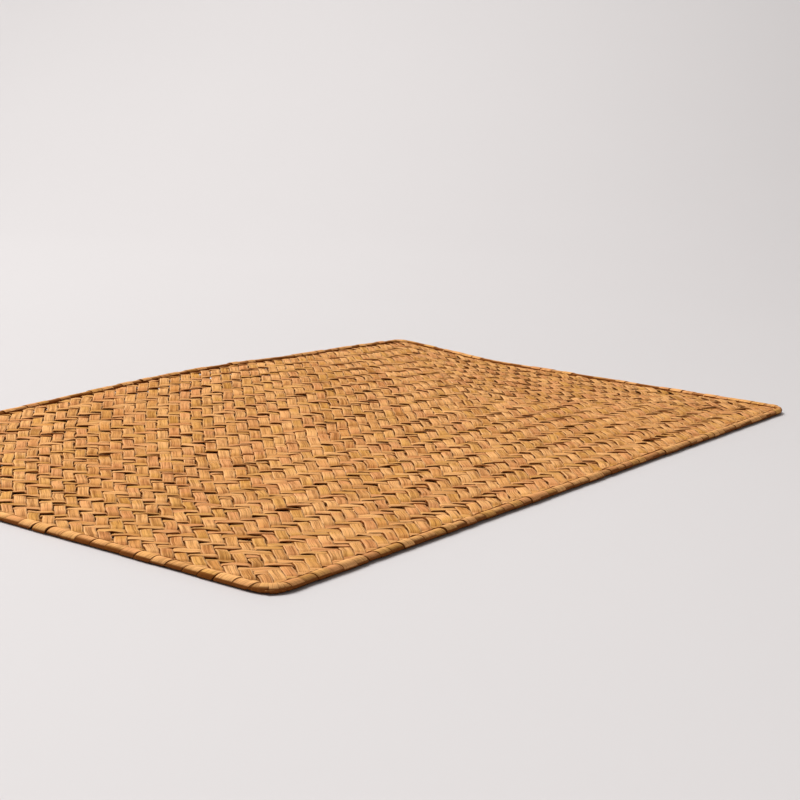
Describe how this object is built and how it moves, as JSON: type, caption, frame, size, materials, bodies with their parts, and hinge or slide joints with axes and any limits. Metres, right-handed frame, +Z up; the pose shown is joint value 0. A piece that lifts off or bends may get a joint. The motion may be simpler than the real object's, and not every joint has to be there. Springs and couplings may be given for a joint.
{
  "type": "plaited straw placemat",
  "caption": "Rectangular table placemat of flat straw strips plaited on the diagonal in a stepped twill, with rounded corners and a turned rim, lying flat with a slightly lifted back edge.",
  "frame": {"origin": "on the table surface, under the middle of the mat", "axes": "+X along the long side, +Y along the short side towards the lifted back edge, +Z up"},
  "size_m": [0.45, 0.259, 0.0101],
  "materials": {
    "straw": "dry matt plaited straw with a faint natural sheen"
  },
  "bodies": {
    "root": {"plaited_mat": "straw"}
  },
  "joints": []
}
